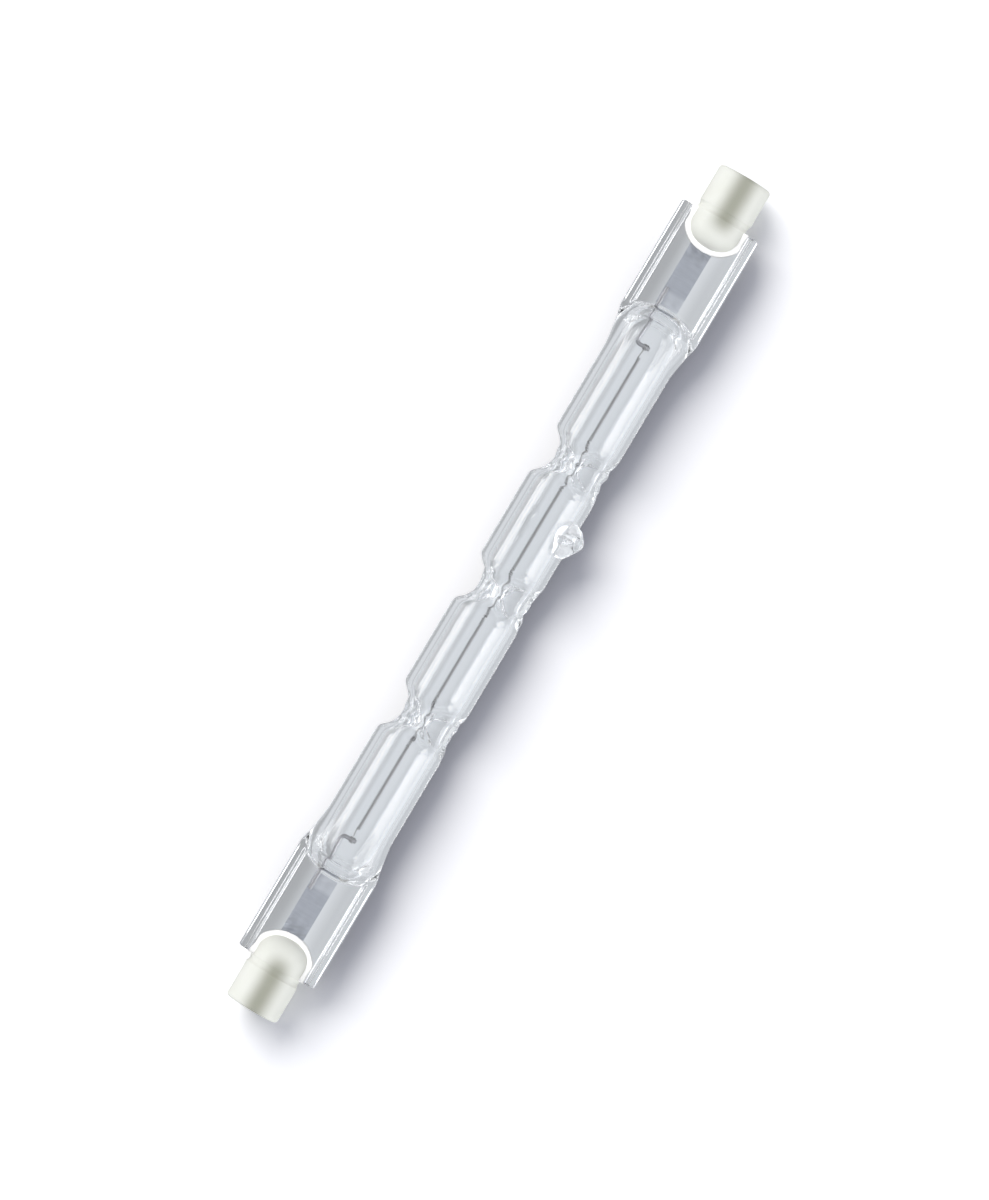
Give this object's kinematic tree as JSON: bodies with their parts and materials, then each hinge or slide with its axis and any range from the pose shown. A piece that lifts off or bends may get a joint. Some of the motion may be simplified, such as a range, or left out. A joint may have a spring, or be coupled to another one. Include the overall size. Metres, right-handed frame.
{
  "type": "linear halogen bulb",
  "caption": "Double-ended halogen lamp: a clear dimpled quartz tube with a coil along its axis, ribbed press seals, an exhaust tip and a recessed-contact ceramic cap at each end.",
  "frame": {"origin": "on the lamp's axis at mid-length", "axes": "+X along the lamp toward the end nearer the exhaust tip, +Z square to the flats of the press seals, +Y across them"},
  "size_m": [0.1176, 0.0114, 0.0088],
  "materials": {
    "quartz": "clear fused quartz, fire-polished",
    "tungsten": "dull grey drawn wire",
    "lead_wire": "drawn wire",
    "foil": "thin rolled strip",
    "ceramic": "unglazed, off-white, matte",
    "cement": "white, slightly rough",
    "contact": "plain nickel"
  },
  "bodies": {
    "root": {"quartz_envelope": "quartz", "filament": "tungsten", "inner_lead_left": "lead_wire", "inner_lead_right": "lead_wire", "foil_left": "foil", "foil_right": "foil", "outer_lead_left": "lead_wire", "outer_lead_right": "lead_wire", "ceramic_cap_left": "ceramic", "ceramic_cap_right": "ceramic", "cement_left": "cement", "cement_right": "cement", "contact_left": "contact", "contact_right": "contact"}
  },
  "joints": []
}
